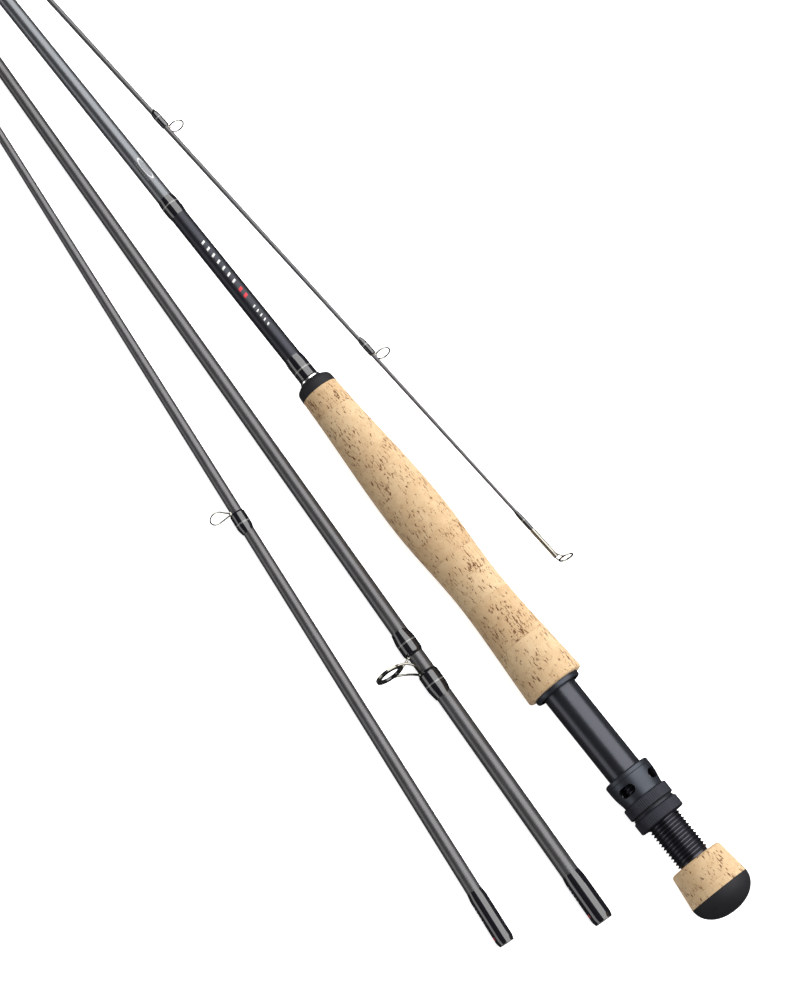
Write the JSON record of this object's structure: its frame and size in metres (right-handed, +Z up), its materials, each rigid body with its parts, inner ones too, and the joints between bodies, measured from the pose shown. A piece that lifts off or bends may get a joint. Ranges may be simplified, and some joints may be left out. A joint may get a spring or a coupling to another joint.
{
  "type": "fly fishing rod",
  "caption": "Fly rod taken apart and laid out as a fan: cork-gripped butt with an up-locking reel seat, and slender blanks with wire line guides and a tip-top.",
  "frame": {"origin": "centre of the bottom of the bounding box, on the table that the sections lie on", "axes": "+X from the butt cap along the butt section, +Z up, +Y to its left"},
  "size_m": [0.8848, 0.1394, 0.0318],
  "materials": {
    "carbon_blank": "satin lacquered carbon",
    "cork": "sanded cork",
    "rubber": "matte",
    "anodised_barrel": "black anodised, satin",
    "anodised_hood": "dark grey anodised, satin",
    "anodised_ring": "black anodised, fine matte",
    "slip_washer": "matte",
    "bushing": "glued filler, unseen",
    "bright_ring": "bright",
    "thread_wrap": "varnished thread, gloss",
    "metallic_thread": "metallic thread under varnish",
    "guide_wire": "bright chromed wire",
    "guide_insert": "polished black ceramic"
  },
  "bodies": {
    "butt_section": {"butt_bands": "metallic_thread", "butt_blank": "carbon_blank", "butt_cap": "rubber", "butt_cork": "cork", "butt_plug": "bushing", "butt_wrap_lower": "thread_wrap", "butt_wrap_upper": "thread_wrap", "cork_grip": "cork", "fixed_hood": "anodised_hood", "grip_front_ring": "rubber", "seat_barrel": "anodised_barrel", "seat_bushing_front": "bushing", "seat_bushing_rear": "bushing", "winding_check": "bright_ring"},
    "washer_with_key": {"keyed_washer": "anodised_ring"},
    "lower_ring": {"lower_lock_ring": "anodised_ring"},
    "plain_washer": {"slip_washer": "slip_washer"},
    "upper_ring": {"upper_lock_ring": "anodised_ring"},
    "hood": {"sliding_hood": "anodised_hood"},
    "second_section": {"second_bands": "metallic_thread", "second_blank": "carbon_blank", "second_ferrule_wrap": "thread_wrap", "second_guide_1": "guide_wire", "second_guide_wrap_1": "thread_wrap", "stripper_frame": "guide_wire", "stripper_ring": "guide_insert", "stripper_wrap_front": "thread_wrap", "stripper_wrap_rear": "thread_wrap"},
    "third_section": {"third_bands": "metallic_thread", "third_blank": "carbon_blank", "third_ferrule_wrap": "thread_wrap", "third_guide_1": "guide_wire", "third_guide_2": "guide_wire", "third_guide_3": "guide_wire", "third_guide_wrap_1": "thread_wrap", "third_guide_wrap_2": "thread_wrap", "third_guide_wrap_3": "thread_wrap"},
    "tip_section": {"tip_bands": "metallic_thread", "tip_blank": "carbon_blank", "tip_ferrule_wrap": "thread_wrap", "tip_guide_1": "guide_wire", "tip_guide_2": "guide_wire", "tip_guide_3": "guide_wire", "tip_guide_4": "guide_wire", "tip_guide_wrap_1": "thread_wrap", "tip_guide_wrap_2": "thread_wrap", "tip_guide_wrap_3": "thread_wrap", "tip_guide_wrap_4": "thread_wrap", "tip_top": "guide_wire", "tip_top_wrap": "thread_wrap"}
  },
  "joints": [
    {"name": "lower_ring_travel", "type": "slide", "parent": "butt_section", "child": "washer_with_key", "axis": [0.9999, 0, -0.0126], "range_m": [-0.0195, 0]},
    {"name": "lower_ring_turn", "type": "hinge", "parent": "washer_with_key", "child": "lower_ring", "pos_m": [-0.38778, -0.02483, 0.01591], "axis": [0.9999, 0, -0.0126], "range_deg": [-4011.4, 0]},
    {"name": "upper_ring_travel", "type": "slide", "parent": "lower_ring", "child": "plain_washer", "axis": [0.9999, 0, -0.0126], "range_m": [0, 0.0125]},
    {"name": "upper_ring_turn", "type": "hinge", "parent": "plain_washer", "child": "upper_ring", "pos_m": [-0.38013, -0.02483, 0.01581], "axis": [0.9999, 0, -0.0126], "range_deg": [0, 2571.4]},
    {"name": "hood_travel", "type": "slide", "parent": "washer_with_key", "child": "hood", "axis": [0.9999, 0, -0.0126], "range_m": [0, 0.0125]},
    {"name": "second_section_lift", "type": "slide", "parent": "butt_section", "child": "second_section", "axis": [0, 0, 1], "range_m": [0, 0.15]},
    {"name": "third_section_lift", "type": "slide", "parent": "butt_section", "child": "third_section", "axis": [0, 0, 1], "range_m": [0, 0.15]},
    {"name": "tip_section_lift", "type": "slide", "parent": "butt_section", "child": "tip_section", "axis": [0, 0, 1], "range_m": [0, 0.15]}
  ],
  "couplings": [
    {"joint": "lower_ring_travel", "follows": "lower_ring_turn", "m_per_rad": 0.00027852},
    {"joint": "upper_ring_travel", "follows": "upper_ring_turn", "m_per_rad": 0.00027852},
    {"joint": "hood_travel", "follows": "upper_ring_turn", "m_per_rad": 0.00027852}
  ]
}
